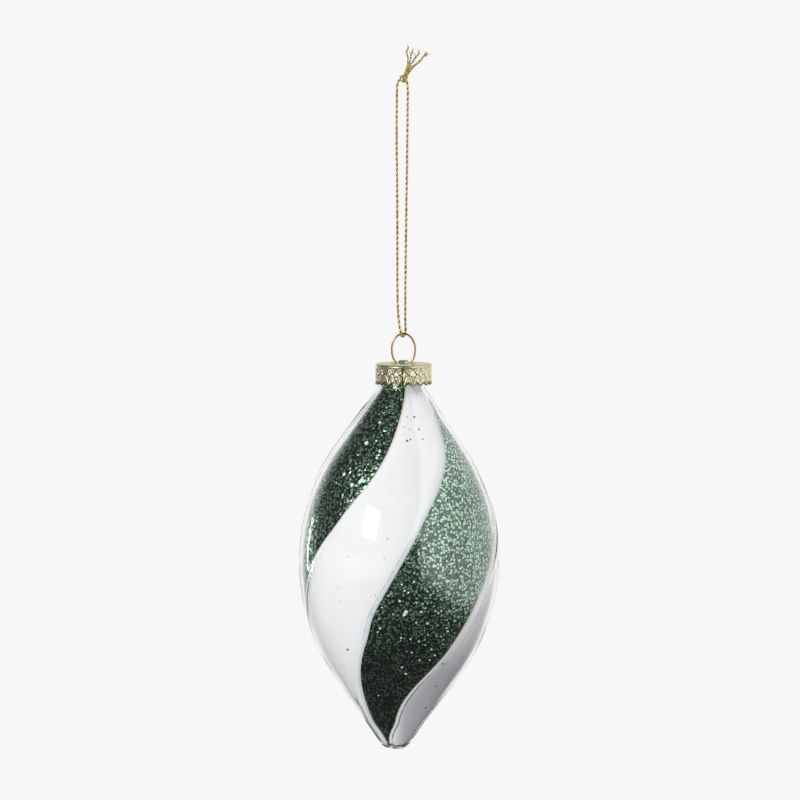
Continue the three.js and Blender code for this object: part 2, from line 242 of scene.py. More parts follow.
def tube(line, section, pitch=None, closed=False):
    """A tube along a line. Its section lists (radius, groove) round it, and turns once in each pitch."""
    count = len(section)
    points, grooves, rings = [], [], []
    side = None
    run = 0.0
    for i, centre in enumerate(line):
        after = line[(i + 1) % len(line)] if closed else line[min(i + 1, len(line) - 1)]
        before = line[i - 1] if closed or i else line[0]
        ahead = (after - before).normalized()
        if i:
            run += (centre - line[i - 1]).length
        if side is None:
            side = ahead.orthogonal()
        side = (side - ahead * side.dot(ahead)).normalized()
        up = ahead.cross(side)
        turn = 2 * math.pi * run / pitch if pitch else 0.0
        ring = []
        for k, (radius, groove) in enumerate(section):
            angle = 2 * math.pi * k / count + turn
            ring.append(len(points))
            points.append(centre + radius * (math.cos(angle) * side + math.sin(angle) * up))
            grooves.append(groove)
        rings.append(ring)
    faces = []
    pairs = list(zip(rings, rings[1:]))
    if closed:
        pairs.append((rings[-1], rings[0]))
    for lower, upper in pairs:
        for k in range(count):
            after_k = (k + 1) % count
            faces.append((lower[k], lower[after_k], upper[after_k], upper[k]))
    if not closed:
        faces.append(tuple(reversed(rings[0])))
        faces.append(tuple(rings[-1]))
    obj = mesh_piece(points, faces)
    obj.data.transform(METRES)
    point_values(obj, "groove", grooves)
    return obj


# Two plies twisted together: the strand's radius, how far each ply's middle is from the strand's, the
# number of sides drawn round it and the length of a full turn
Strand = namedtuple("Strand", "radius offset sides pitch")
PLIES = 2
GROOVE_ALLOWANCE = 0.03
LOOP_STRAND = Strand(THREAD_DIAMETER / 2 + GROOVE_ALLOWANCE, 0.2, 16, 3.7)
LOOP_STEP = 0.35
KNOT_STRAND = Strand(0.6, 0.2, 14, 2.4)
TAIL_STRAND = Strand(0.36, 0.13, 12, 1.9)
TAIL_STEP = 0.25


def twisted(line, strand, closed=False):
    """A thread of two round plies along a line, with 1 stored in the groove between them."""
    ply = strand.radius - strand.offset

    def reach_at(away):
        half = strand.offset * math.sin(away)
        return strand.offset * math.cos(away) + math.sqrt(max(0.0, ply ** 2 - half ** 2))

    lowest = reach_at(math.pi / PLIES)
    section = []
    for k in range(strand.sides):
        turn = (k / strand.sides * PLIES) % 1.0
        reach = reach_at(min(turn, 1 - turn) * 2 * math.pi / PLIES)
        section.append((reach, (strand.radius - reach) / (strand.radius - lowest)))
    return tube(line, section, strand.pitch, closed)


# From the knot down on the left, under the bail's wire from front to back, and up on the right
THREAD_ROUTE = [
    (0.35, 0, 1.8), (-0.62, 0, 1.15), (-1.32, -0.03, 0.1), (-1.52, -0.06, -1.9), (-1.6, -0.1, -6),
    (-1.66, -0.12, -14), (-1.64, -0.15, -22), (-1.55, -0.2, -30.5), (-1.48, -0.25, -39),
    (-1.44, -0.3, -47.5), (-1.42, -0.38, -56), (-1.41, -0.52, -64.5), (-1.38, -0.8, -72.5),
    (-1.22, -1.2, -79.5), (-0.76, -1.55, -84.6), (-0.26, -1.69, -87.3), (-0.1, -1.37, -88.42),
    (0.21, -0.77, -88.99), (0.6, 0, -89.2), (0.99, 0.77, -88.99), (1.3, 1.37, -88.42),
    (1.46, 1.69, -87.3), (1.42, 1.55, -84.6), (1.38, 1.2, -79.5), (1.42, 0.8, -72.5),
    (1.5, 0.52, -64.5), (1.6, 0.38, -56), (1.7, 0.3, -47.5), (1.82, 0.25, -39),
    (1.95, 0.2, -30.5), (2.06, 0.15, -22), (2.14, 0.12, -14), (2.22, 0.1, -6),
    (2.26, 0.06, -2), (1.92, 0, 0.62), (1.3, 0, 1.6),
]

TAIL_ROUTES = [
    [(0.9, 0.1, 2.9), (1.6, 0.1, 4.6), (2.2, 0.3, 6.6), (2.3, 0.5, 8.6), (1.9, 0.7, 10.4),
     (2.3, 0.9, 12.7)],
    [(1.1, -0.35, 2.9), (1.9, -0.5, 4.7), (2.7, -0.6, 6.7), (3.1, -0.9, 8.6), (3.8, -1.2, 11.4)],
    [(1.4, 0.35, 2.9), (2.2, 0.6, 4.4), (3.2, 0.8, 6.5), (4.7, 1, 8.5), (6.4, 1.3, 11.1)],
    [(1.6, -0.2, 2.8), (2.6, -0.4, 4.3), (3.8, -0.6, 5.8), (5.6, -0.7, 7), (7.4, -0.8, 9.1),
     (8.9, -0.8, 10.7)],
    [(1.8, 0.4, 2.6), (2.8, 0.8, 3.9), (4.1, 1.3, 5.6), (4.9, 1.7, 6.5), (6.3, 1.9, 7.5)],
]
# How a frayed end wavers: how far, how fast to the side and how fast to the back
TAIL_SWING = 0.16
SIDE_WAVER = 0.55
BACK_WAVER = 0.47
TAIL_SEED = 11

# Loose filaments at each frayed end: how many points from its tip they start, how they lean to each side,
# and how far ahead and aside they have gone at each of their points
FILAMENTS = 3
FILAMENT_START = 6
FILAMENT_SPACING = 3
TIP_POINTS = 8
FILAMENT_RADIUS = 0.14
FILAMENT_GROOVE = 0.4
FILAMENT_SIDES = 6
FILAMENT_LEAN = [(-1, 1), (-0.6, 0.6), (-0.3, 0.6)]
FILAMENT_BEND = [(0, 0), (0.7, 0.25), (1.2, 0.8), (1.5, 1.5)]

KNOT_CENTRE = Vector((0.8, 0, 1.7))
KNOT_STEPS = 96
KNOT_WIDTH = 0.36
KNOT_DEPTH = 0.5
KNOT_HEIGHT = 0.33


def knot_line():
    """An overhand knot drawn tight: a trefoil, squashed to the knot's size."""
    out = []
    for i in range(KNOT_STEPS):
        t = 2 * math.pi * i / KNOT_STEPS
        across = math.sin(t) + 2 * math.sin(2 * t)
        back = -math.sin(3 * t)
        up = math.cos(t) - 2 * math.cos(2 * t)
        out.append(KNOT_CENTRE + Vector((KNOT_WIDTH * across, KNOT_DEPTH * back, KNOT_HEIGHT * up)))
    return out


def frayed_end(route, number):
    """One strand of the thread above the knot, which ends in loose filaments."""
    pick = random.Random(number + TAIL_SEED)
    line = smooth_line(route, TAIL_STEP)
    for i, point in enumerate(line):
        swing = TAIL_SWING * i / len(line)
        point += swing * Vector((math.sin(SIDE_WAVER * i + number), math.cos(BACK_WAVER * i), 0))
    parts = [twisted(line, TAIL_STRAND)]
    ahead = (line[-1] - line[-TIP_POINTS]).normalized()
    for k in range(FILAMENTS):
        start = line[-FILAMENT_START - FILAMENT_SPACING * k]
        lean = Vector([pick.uniform(*span) for span in FILAMENT_LEAN])
        bend = [start + far * ahead + aside * lean for far, aside in FILAMENT_BEND]
        section = [(FILAMENT_RADIUS, FILAMENT_GROOVE)] * FILAMENT_SIDES
        parts.append(tube(smooth_line(bend, TAIL_STEP), section))
    for part in parts:
        shade(part)
    return join(parts)


def make_thread(material):
    """The thread loop, its knot and its frayed ends."""
    loop = twisted(smooth_line(THREAD_ROUTE, LOOP_STEP), LOOP_STRAND)
    shade(loop)
    settle(loop, "thread_cord", "thread", material, ["thread_loop"])
    knot = twisted(knot_line(), KNOT_STRAND, closed=True)
    shade(knot)
    settle(knot, "drawn_knot", "thread", material, ["thread_knot"])
    for i, route in enumerate(TAIL_ROUTES):
        tail = frayed_end(route, i)
        settle(tail, f"frayed_end_{i + 1}", "thread", material,
               [f"thread_tail_{i + 1}"])


# The glass drop's shape

# A ring round the drop: its radius and height, and which way its surface looks, out and up
Row = namedtuple("Row", "radius height out up")

SHOULDER_R = BODY_RADIUS - BELLY_ARC_RADIUS * (1 - math.cos(FLANK))
SHOULDER_Z = BELLY_ARC_RADIUS * math.sin(FLANK)
TIP_JOIN_R = TIP_RADIUS * math.cos(FLANK)
TIP_JOIN_Z = -SHOULDER_Z - (SHOULDER_R - TIP_JOIN_R) / math.tan(FLANK)
TIP_CENTRE_Z = TIP_JOIN_Z + TIP_RADIUS * math.sin(FLANK)
NECK_JOIN_R = NECK_RADIUS + NECK_FILLET * (1 - math.cos(FLANK))
NECK_JOIN_Z = SHOULDER_Z + (SHOULDER_R - NECK_JOIN_R) / math.tan(FLANK)
NECK_BASE_Z = NECK_JOIN_Z + NECK_FILLET * math.sin(FLANK)
NECK_TOP_Z = NECK_BASE_Z + NECK_LENGTH
# The neck hangs under a cap whose sheet is as thick as in the part's source
NECK_TOP = CAP_TOP - SOLID_CAP_SHEET - SEAT_GAP - NECK_RADIUS * math.sin(GLASS_LEAN)
DROP_PLACE = (METRES @ Matrix.Translation((BAIL_OFFSET + NECK_OFFSET, 0, NECK_TOP))
              @ Matrix.Rotation(GLASS_LEAN, 4, "Y") @ Matrix.Translation((0, 0, -NECK_TOP_Z)))


def profile(step, top):
    """Rows from the tip to the neck, about a step apart, each with its outward normal. An arc with side -1
    bends inwards."""
    rows = []

    def arc(centre_r, centre_z, radius, start, end, side=1):
        count = max(4, round(radius * abs(end - start) / step))
        for i in range(count):
            out = math.cos(lerp(start, end, i / count))
            up = math.sin(lerp(start, end, i / count))
            rows.append(Row(centre_r + side * radius * out, centre_z + side * radius * up, out, up))

    def line(start_r, start_z, end_r, end_z, elevation):
        count = max(2, round(math.hypot(end_r - start_r, end_z - start_z) / step))
        for i in range(count):
            share = i / count
            rows.append(Row(lerp(start_r, end_r, share), lerp(start_z, end_z, share),
                            math.cos(elevation), math.sin(elevation)))

    arc(0, TIP_CENTRE_Z, TIP_RADIUS, -math.pi / 2, -FLANK)
    line(TIP_JOIN_R, TIP_JOIN_Z, SHOULDER_R, -SHOULDER_Z, -FLANK)
    arc(BODY_RADIUS - BELLY_ARC_RADIUS, 0, BELLY_ARC_RADIUS, -FLANK, FLANK)
    line(SHOULDER_R, SHOULDER_Z, NECK_JOIN_R, NECK_JOIN_Z, FLANK)
    arc(NECK_RADIUS + NECK_FILLET, NECK_BASE_Z, NECK_FILLET, FLANK, 0, -1)
    line(NECK_RADIUS, NECK_BASE_Z, NECK_RADIUS, top, 0)
    rows.append(Row(NECK_RADIUS, top, 1, 0))
    return rows


# Name, whether it is white, and where it starts at the widest ring
BANDS = [
    ("white_band_1", True, -61),
    ("glitter_band_1", False, -1),
    ("white_band_2", True, 65),
    ("glitter_band_2", False, 122),
    ("white_band_3", True, 180),
    ("glitter_band_3", False, 240),
]


def band_start(index):
    """The angle where a band starts at the widest ring. Indices past the last band go on round the drop."""
    turns, place = divmod(index, len(BANDS))
    return BANDS[place][2] + turns * FULL_TURN


# How the bands leave an even twist: degrees added by the far height, from the near one on. Heights
# are shares of the way from the widest ring, up to the neck's base or, below 0, down to the tip's centre.
Shift = namedtuple("Shift", "degrees near far")
NECK_TWIST = 23.4
NECK_TWIST_NEAR = 0.3
NECK_TWIST_POWER = 1.25
UPPER_END_SHIFT = Shift(6, 0, 0.32)
NECK_END_SHIFT = Shift(-14, 0.45, 1)
LOWER_START_SHIFT = Shift(3, -0.23, -0.43)
FOOT_END_SHIFT = Shift(-15, -0.45, -0.92)
NECK_START_SHIFT = Shift(-22, 0.5, 0.82)
WIDE_NECK_BAND = 5


def height_share(z):
    """A height as a share of the way from the widest ring, below 0 towards the tip."""
    return z / NECK_BASE_Z if z > 0 else -z / TIP_CENTRE_Z


def shift_at(shift, z):
    """The degrees that one shift adds at a height."""
    side = math.copysign(1, shift.far)
    return shift.degrees * smooth(side * height_share(z), side * shift.near, side * shift.far)


def twist(z):
    """How far the bands have turned at a height: evenly, and more and more towards the neck."""
    height = min(NECK_BASE_Z, max(TIP_CENTRE_Z - TIP_RADIUS, z))
    rise = max(0.0, height_share(height) - NECK_TWIST_NEAR) / (1 - NECK_TWIST_NEAR)
    return FULL_TURN * height / TWIST_LEAD + NECK_TWIST * rise ** NECK_TWIST_POWER


def glitter_edges(index, z):
    """Where a glitter band starts and ends at a height. It narrows to a sliver at the tip."""
    start = band_start(index) + shift_at(LOWER_START_SHIFT, z)
    if index % len(BANDS) == WIDE_NECK_BAND:
        start += shift_at(NECK_START_SHIFT, z)
    upper_end = band_start(index + 1) + shift_at(UPPER_END_SHIFT, z) + shift_at(NECK_END_SHIFT, z)
    end = upper_end + shift_at(FOOT_END_SHIFT, z)
    draw_start = TIP_CENTRE_Z + TIP_SHRINK_START * TIP_RADIUS
    draw_end = TIP_CENTRE_Z + TIP_SHRINK_END * TIP_RADIUS
    draw = TIP_SHRINK * (end - start) / 2 * (1 - smooth(z, draw_end, draw_start))
    return start + draw + twist(z), end - draw + twist(z)


def band_edges(index, z):
    """Where any band starts and ends at a height. A white band fills the space between two of glitter."""
    if BANDS[index % len(BANDS)][1]:
        return glitter_edges(index - 1, z)[1], glitter_edges(index + 1, z)[0]
    return glitter_edges(index, z)


def raise_share(row):
    """How far the white bands are raised at a row, from 0 to 1."""
    near_tip = smooth(row.radius, TIP_FLAT_SHARE * TIP_RADIUS, TIP_RAISED_SHARE * TIP_RADIUS)
    return near_tip * (1 - smooth(row.height, NECK_JOIN_Z - RAISE_FADE_LENGTH, NECK_JOIN_Z))


RAMP_STEPS = 6
WHITE_STEPS = 18
GLITTER_STEPS = 20


def edge_inset(row, width, inset):
    """An inset of a band's edge in degrees. It stays small where the band is narrow."""
    return min(math.degrees(inset / max(row.radius, SMALLEST_RADIUS)), INSET_SHARE_LIMIT * width)


def band_columns(index, row, inset=0.0):
    """The columns of a band at a row: angle, and how far the surface is raised there."""
    start, end = band_edges(index, row.height)
    width = end - start
    side = edge_inset(row, width, inset)
    start += side
    end -= side
    if not BANDS[index][1]:
        return [(lerp(start, end, i / GLITTER_STEPS), 0.0) for i in range(GLITTER_STEPS + 1)]
    ramp = min(math.degrees(RAMP_WIDTH / max(row.radius, SMALLEST_RADIUS)), RAMP_SHARE_LIMIT * width)
    full = raise_share(row)
    out = []
    for i in range(RAMP_STEPS):
        share = i / RAMP_STEPS
        out.append((start + ramp * share, full * smooth(share, 0, 1)))
    for i in range(WHITE_STEPS + 1):
        out.append((lerp(start + ramp, end - ramp, i / WHITE_STEPS), full))
    for i in range(RAMP_STEPS):
        share = (i + 1) / RAMP_STEPS
        out.append((end - ramp * (1 - share), full * (1 - smooth(share, 0, 1))))
    return out


def drop_point(row, angle, lift, depth):
    """A point at an angle on a ring, at a depth under the surface, which lifts where a white band is."""
    push = BAND_RAISE * lift - depth
    r = max(0.0, row.radius + push * row.out)
    turn = math.radians(angle)
    return r * math.sin(turn), -r * math.cos(turn), row.height + push * row.up


def make_glass(material):
    """The clear drop, with its raised bands and an open neck."""
    rows = profile(DROP_STEP, NECK_TOP_Z)
    rings = []
    for row in rows:
        ring = [column for i in range(len(BANDS)) for column in band_columns(i, row)[:-1]]
        rings.append(ring + [(ring[0][0] + FULL_TURN, ring[0][1])])

    def place(i, j):
        angle, lift = rings[j][i]
        return drop_point(rows[j], angle, lift, 0)

    glass, _ = wrapped_grid(len(rings[0]) - 1, len(rows) - 1, place)
    merge_doubles(glass)
    modify(glass, "SOLIDIFY", thickness=GLASS_WALL, offset=-1)
    glass.data.transform(DROP_PLACE)
    shade(glass, angle=40)
    settle(glass, "blown_glass", "glass", material, ["glass_body"])
    # Shadow and diffuse rays pass the glass, so light reaches the coats straight
    glass.visible_shadow = False
    glass.visible_diffuse = False


COAT_DEPTH = GLASS_WALL + COAT_GAP


def make_white(index, material):
    """One white lacquer band on the inside of the glass."""
    rows = profile(DROP_STEP, NECK_BASE_Z + COAT_NECK_REACH)[1:]
    table = [band_columns(index, row, BAND_GAP / 2) for row in rows]

    def place(i, j):
        angle, lift = table[j][i]
        return drop_point(rows[j], angle, lift, COAT_DEPTH)

    coat, steps = wrapped_grid(len(table[0]) - 1, len(rows) - 1, place)
    left, right = [], []
    for i, j in steps:
        arc = math.radians(1) * rows[j].radius
        left.append((table[j][i][0] - table[j][0][0]) * arc / 1000)
        right.append((table[j][-1][0] - table[j][i][0]) * arc / 1000)
    point_values(coat, "from_left", left)
    point_values(coat, "from_right", right)
    modify(coat, "SOLIDIFY", thickness=COAT_THICKNESS, offset=-1)
    coat.data.transform(DROP_PLACE)
    shade(coat, angle=40)
    name = BANDS[index][0]
    settle(coat, f"lacquer_{name}", "glass", material, [name])


# Glitter: the flakes' size and scatter, and how deep their corners lie under the coat's surface. Some
# flakes are tilted steeply.
FLAKE_SIZE = 0.78
FLAKE_ROW_SHARE = 0.87
FLAKE_SCATTER = 0.28
FLAKE_STAGGER = 0.25
FLAKE_SINK = 0.05
FLAKE_TILT = 0.035
STEEP_TILT = 0.14
STEEP_SHARE = 0.18
HIGHEST_SINK = -0.08
DEEPEST_SINK = 0.3
GLITTER_THICKNESS = 0.35
GLITTER_SEED = 100


def zip_rows(lower, upper):
    """Triangles between two rows of points, each a list of (share, point)."""
    faces = []
    i = j = 0
    while i + 1 < len(lower) or j + 1 < len(upper):
        done = j + 1 == len(upper)
        if done or (i + 1 < len(lower) and lower[i + 1][0] <= upper[j + 1][0]):
            faces.append((lower[i][1], lower[i + 1][1], upper[j][1]))
            i += 1
        else:
            faces.append((lower[i][1], upper[j + 1][1], upper[j][1]))
            j += 1
    return faces


def make_glitter(index, material):
    """One glitter band: a shell of small flat flakes, each tilted a little at random."""
    pick = random.Random(GLITTER_SEED + index)
    rows = profile(FLAKE_ROW_SHARE * FLAKE_SIZE, NECK_BASE_Z + COAT_NECK_REACH)[1:]
    points, faces = [], []
    last = None
    for j, row in enumerate(rows):
        start, end = band_edges(index, row.height)
        side = edge_inset(row, end - start, BAND_GAP / 2)
        count = max(1, round(math.radians(end - start) * row.radius / FLAKE_SIZE))
        stagger = FLAKE_STAGGER if j % 2 else -FLAKE_STAGGER
        current = []
        for i in range(count + 1):
            share = i / count
            sink = FLAKE_SINK
            if 0 < i < count and 0 < j < len(rows) - 1:
                share += (pick.uniform(-FLAKE_SCATTER, FLAKE_SCATTER) + stagger) / count
                sink += pick.gauss(0, STEEP_TILT if pick.random() < STEEP_SHARE else FLAKE_TILT)
            sink = min(DEEPEST_SINK, max(HIGHEST_SINK, sink))
            angle = lerp(start + side, end - side, share)
            current.append((share, len(points)))
            points.append(drop_point(row, angle, 0, COAT_DEPTH + sink))
        if last is not None:
            faces += zip_rows(last, current)
        last = current
    coat = mesh_piece(points, faces)
    shades = coat.data.attributes.new("flake", "FLOAT", "FACE")
    shades.data.foreach_set("value", [pick.random() for _ in faces])
    modify(coat, "SOLIDIFY", thickness=GLITTER_THICKNESS, offset=-1)
    coat.data.transform(DROP_PLACE)
    name = BANDS[index][0]
    settle(coat, f"flakes_{name}", "glass", material, [name])


# Cap and bail

CAP_PLACE = METRES @ Matrix.Translation((BAIL_OFFSET, 0, CAP_TOP))
CAP_COLUMNS = 420
SCALLOPS = 20
SCALLOP_LENGTH = 1.1
SCALLOP_START = 0.72
SKIRT_HEIGHT = CAP_HEIGHT - 0.8
SKIRT_ROWS = 34
CORNER_ROWS = 6
PANEL_ROWS = 8
PANEL_INNER = 3.2
PANEL_RIM = 1.6
PANEL_CROWN = 0.1
SLOT_PLACE = 3.23
SLOT_SIZE = (2.25, 1.3, 3)

# The raised centre: radius and height over the cap's top
BOSS = [(0, 1.25), (0.9, 1.22), (1.5, 1.05), (1.8, 0.7), (1.95, 0.25), (2.4, 0.06)]
BOSS_DENTS = 0.12
BOSS_SIDE = (1, 2)

# The embossed pattern. Its widths and heights are shares of a scallop and of the skirt, and its depths
# are shares of the relief.
RELIEF = 0.3
PATTERN_TURN = 2 / FULL_TURN
SEAM_TURN = 0.745
SEAM_WIDTH = 0.007
LOZENGE_WIDTH = 0.37
LOZENGE_HEIGHT = 0.38
LOZENGE_LINE = 0.14
DIMPLE_WIDTH = 0.1
DIMPLE_HEIGHT = 0.065
DIMPLE_RISE = 0.16
SCROLL_WIDTH = 0.27
SCROLL_HEIGHT = 0.17
SCROLL_RISE = 0.36
SCROLL_LINE = 0.2
PLAIN_LIFT = 0.66
LOZENGE_LIFT = 0.2
LOZENGE_DEPTH = 0.6
DIMPLE_DEPTH = 0.75
GAP_DIMPLE_DEPTH = 0.54
SCROLL_DEPTH = 0.45
SEAM_DEPTH = 0.7
FLAT_LIFT = 0.33


def wave(turn, count, size, start=0.0):
    """An unevenness that swings so many times in a turn of the cap."""
    return size * math.sin(2 * math.pi * count * turn + start)


def dimple(aside, up):
    """1 at the middle of a dimple, and 0 outside it."""
    return math.exp(-((aside / DIMPLE_WIDTH) ** 2 + (up / DIMPLE_HEIGHT) ** 2))


def engraved(place, line, width):
    """1 on an engraved line, and 0 beside it."""
    return math.exp(-((place - line) / width) ** 2)


def struck(motif, rate, start=0.0):
    """How deep a dimple of one lozenge is struck, from 0.2 to 1."""
    return 0.6 + 0.4 * math.sin(rate * motif + start)


def relief(turn, share):
    """Height of the embossed pattern, from 0 to 1, at a share of a turn and of the skirt's height. Over
    each scallop stands an engraved lozenge with two dimples. Each gap has a dimple and two scrolls."""
    wander = wave(turn, 7, 0.06) + wave(turn, 16, 0.05, 2)
    across = (turn - PATTERN_TURN) * SCALLOPS + wander
    motif = math.floor(across + 0.5)
    aside = abs((across + 0.5) % 1 - 0.5)
    from_gap = 0.5 - aside
    up = share - 0.5 + wave(turn, 5, 0.03)
    edge = aside / LOZENGE_WIDTH + abs(up) / LOZENGE_HEIGHT
    dimples = struck(motif, 2.4) * dimple(aside, up - DIMPLE_RISE)
    dimples += struck(motif, 3.7, 1) * dimple(aside, up + DIMPLE_RISE)
    corner = from_gap / SCROLL_WIDTH + abs(abs(up) - SCROLL_RISE) / SCROLL_HEIGHT
    lift = PLAIN_LIFT + LOZENGE_LIFT * (1 - smooth(edge, 0.75, 0.95))
    lift -= LOZENGE_DEPTH * engraved(edge, 1, LOZENGE_LINE)
    lift -= DIMPLE_DEPTH * dimples
    lift -= GAP_DIMPLE_DEPTH * dimple(from_gap, up + 0.04 * math.sin(5 * motif))
    lift -= SCROLL_DEPTH * engraved(corner, 1, SCROLL_LINE)
    lift -= SEAM_DEPTH * engraved(turn, SEAM_TURN, SEAM_WIDTH)
    return max(0.0, min(1.0, lift))


def cap_profile():
    """The cap's outer side from the boss to the lower edge: radius, height, how much of the relief shows
    and, on the skirt only, the share of its height."""
    rows = [(radius, height, 0, None) for radius, height in BOSS]
    for i in range(PANEL_ROWS + 1):
        share = i / PANEL_ROWS
        radius = lerp(PANEL_INNER, CAP_RADIUS - PANEL_RIM, share)
        rows.append((radius, PANEL_CROWN * math.sin(math.pi * share), 0, None))
    for i in range(CORNER_ROWS + 1):
        angle = math.radians(lerp(90, 0, i / CORNER_ROWS))
        rows.append((CAP_RADIUS - CAP_CORNER + CAP_CORNER * math.cos(angle),
                     -CAP_CORNER + CAP_CORNER * math.sin(angle), 0, None))
    for i in range(1, SKIRT_ROWS + 1):
        share = i / SKIRT_ROWS
        # The relief comes in under the corner and fades towards the lower edge
        shown = smooth(share, 0.02, 0.1) * (1 - 0.6 * smooth(share, 0.93, 1))
        rows.append((CAP_RADIUS, lerp(-CAP_CORNER, -SKIRT_HEIGHT, share), shown, share))
    return rows


def make_cap(material):
    """The pressed cap: an embossed skirt with a scalloped edge, two slots and a dented boss."""
    rows = cap_profile()
    heights = []

    def place(i, j):
        r, z, shown, share = rows[len(rows) - 1 - j]
        turn = i / CAP_COLUMNS
        if share is None:
            heights.append(FLAT_LIFT)
            if BOSS_SIDE[0] < r < BOSS_SIDE[1]:
                z *= 1 + wave(turn, 5, BOSS_DENTS) * wave(turn, 3, 1, 1)
        else:
            lift = relief(turn, share)
            scallop = abs(math.cos(math.pi * SCALLOPS * (turn - PATTERN_TURN)))
            z -= SCALLOP_LENGTH * scallop * smooth(share, SCALLOP_START, 1)
            r -= RELIEF * shown * (1 - lift)
            # Painted shade: the finish turns darker towards the scallops' ends
            heights.append(lift * (1 - 0.75 * smooth(share, 0.8, 0.97)))
        angle = 2 * math.pi * turn
        return r * math.cos(angle), r * math.sin(angle), z

    cap, _ = wrapped_grid(CAP_COLUMNS, len(rows) - 1, place)
    point_values(cap, "emboss_and_shade", heights)
    merge_doubles(cap)
    modify(cap, "SOLIDIFY", thickness=CAP_SHEET, offset=-1)
    for side in (-1, 1):
        bpy.ops.mesh.primitive_cube_add(size=1, location=(side * SLOT_PLACE, 0, 0), scale=SLOT_SIZE)
        cutter = bpy.context.object
        modify(cap, "BOOLEAN", operation="DIFFERENCE", object=cutter, solver="EXACT")
        bpy.data.objects.remove(cutter)
    cap.data.transform(CAP_PLACE)
    shade(cap, angle=35)
    settle(cap, "pressed_cap", "cap", material, ["cap"])


# The bail's right side from the leg's end in the neck to the ring: across and up from the cap's top
BAIL_SIDE = [
    (4.4, -19), (4.6, -14.25), (4.3, -8.55), (3.1, -2.47), (2.75, 0.3), (3.7, 2.1),
]
# The height at which the ring is widest
BAIL_BELLY = 0.46 * BAIL_HEIGHT
BAIL_ARCH_STEPS = 8
BAIL_STEP = 0.4
WIRE_SIDES = 14


def make_bail(material):
    """The wire bail: two legs in the neck, and an oval ring over the cap."""
    arch = []
    for i in range(BAIL_ARCH_STEPS + 1):
        angle = math.pi * i / BAIL_ARCH_STEPS
        arch.append((-BAIL_WIDTH / 2 * math.cos(angle),
                     BAIL_BELLY + (BAIL_HEIGHT - BAIL_BELLY) * math.sin(angle)))
    left = [(-x, z) for x, z in BAIL_SIDE]
    right = list(reversed(BAIL_SIDE))
    line = smooth_line([(x, 0, z) for x, z in left + arch + right], BAIL_STEP)
    bail = tube(line, [(BAIL_WIRE / 2, 0)] * WIRE_SIDES)
    bail.data.transform(Matrix.Translation(CAP_PLACE.translation))
    shade(bail, angle=50)
    settle(bail, "wire_bail", "bail", material, ["bail"])


# Loose flakes that strayed onto the white bands: millimetres right of the drop's axis, over its widest
# ring, and the flake's radius
FRONT_FLECKS = [
    (4.75, 52.6, 0.4), (2.2, 52.5, 0.22), (1.25, 49.2, 0.2), (3.15, 48.6, 0.22), (6.5, 48.7, 0.36),
    (3.45, 45.4, 0.3), (2.3, 45, 0.42), (7.8, 45.3, 0.32), (5.75, 60.2, 0.24), (-2.75, 27.6, 0.18),
    (-4.1, 11.9, 0.22), (-5.1, 5.2, 0.2), (-17.7, 4.9, 0.22), (-21.7, -7.1, 0.18), (-20.2, -6.7, 0.16),
    (-20.3, -11.4, 0.2), (-9.6, -8.5, 0.16), (-8.1, -8.1, 0.17), (-9.3, -14.8, 0.17),
    (-17.5, -29, 0.46), (-19.2, -35.7, 0.17), (-23.6, -28.4, 0.15), (16.4, -33.8, 0.36),
    (14.1, -42.7, 0.34), (10.6, -51.5, 0.36),
]
# Painted glints: near-white flakes on the glitter bands where they sparkle, listed in the same way
FRONT_GLINTS = [
    (-7.8, 50.6, 0.4), (-12.4, 43.4, 0.66), (-7.6, 41.7, 0.35), (-8.5, 38.9, 0.42), (-8.7, 35.5, 0.4),
    (-20.1, 32.6, 0.6), (-13.7, 31.5, 0.66), (-14.4, 30.9, 0.5), (-17.2, 29.3, 0.64), (-14.7, 33.2, 0.3),
    (-17.9, 35, 0.3), (-15.3, 39.4, 0.3), (-26.8, 29.4, 0.25), (-20.4, 25.7, 0.33), (-18.4, 23.8, 0.33),
    (-31.2, 17.6, 0.28), (-14.3, 49.9, 0.28), (2.9, -13.8, 0.58), (2.3, -15, 0.5), (0.6, -9.8, 0.4),
    (1.2, -4, 0.32), (6.5, -10.2, 0.33), (8.8, -11, 0.3), (-6.2, -20, 0.33), (-7, -21.5, 0.27),
    (-1.7, -14.8, 0.28), (8.2, -14.1, 0.33), (10.6, -18.1, 0.42), (6.6, -17.8, 0.33), (4.7, -24, 0.33),
    (7.7, -24.8, 0.33), (10, -26.3, 0.28), (5.3, -29.1, 0.33), (13.6, -30.5, 0.36), (12.3, -28.2, 0.33),
    (1.8, -34.6, 0.33), (3.3, -37.2, 0.36), (8.1, -32.2, 0.32), (11.7, -32, 0.28), (18, -21.8, 0.36),
    (15.5, -14.1, 0.32), (1.3, -23.3, 0.32), (15.7, -23.3, 0.28), (-6.5, -46.4, 0.22),
]
# Painted glints are drawn larger than listed, so that they look as bright as in the photograph. Small ones
# between two heights on the lower half are made smaller first
GLINT_SPREAD = 1.22
LOW_GLINTS = (-33, -9)
SMALL_GLINT = 0.5
LOW_GLINT_SHARE = 0.86
REAR_FLECKS = 12
REAR_FLECK_BAND = 4
REAR_ROWS = slice(20, -8)
REAR_SPAN = (0.25, 0.75)
REAR_SIZES = (0.16, 0.4)
REAR_SEED = 5
SPIN_SEED = 9
FLECK_SIDES = 6
FLECK_THICKNESS = 0.05
# How far the middles of the flakes lie off the coat that they are on
FLECK_OFF = 0.04
GLINT_OFF = 0.06
# No measured flake stands nearer to the drop's outline than at this share of its radius
FRONT_LIMIT = 0.98
FLECK_ROWS = profile(step=0.5, top=NECK_BASE_Z)


def glint_radius(height, radius):
    """The radius that a painted glint is drawn with."""
    if LOW_GLINTS[0] < height < LOW_GLINTS[1] and radius < SMALL_GLINT:
        radius = round(LOW_GLINT_SHARE * radius, 2)
    return GLINT_SPREAD * radius


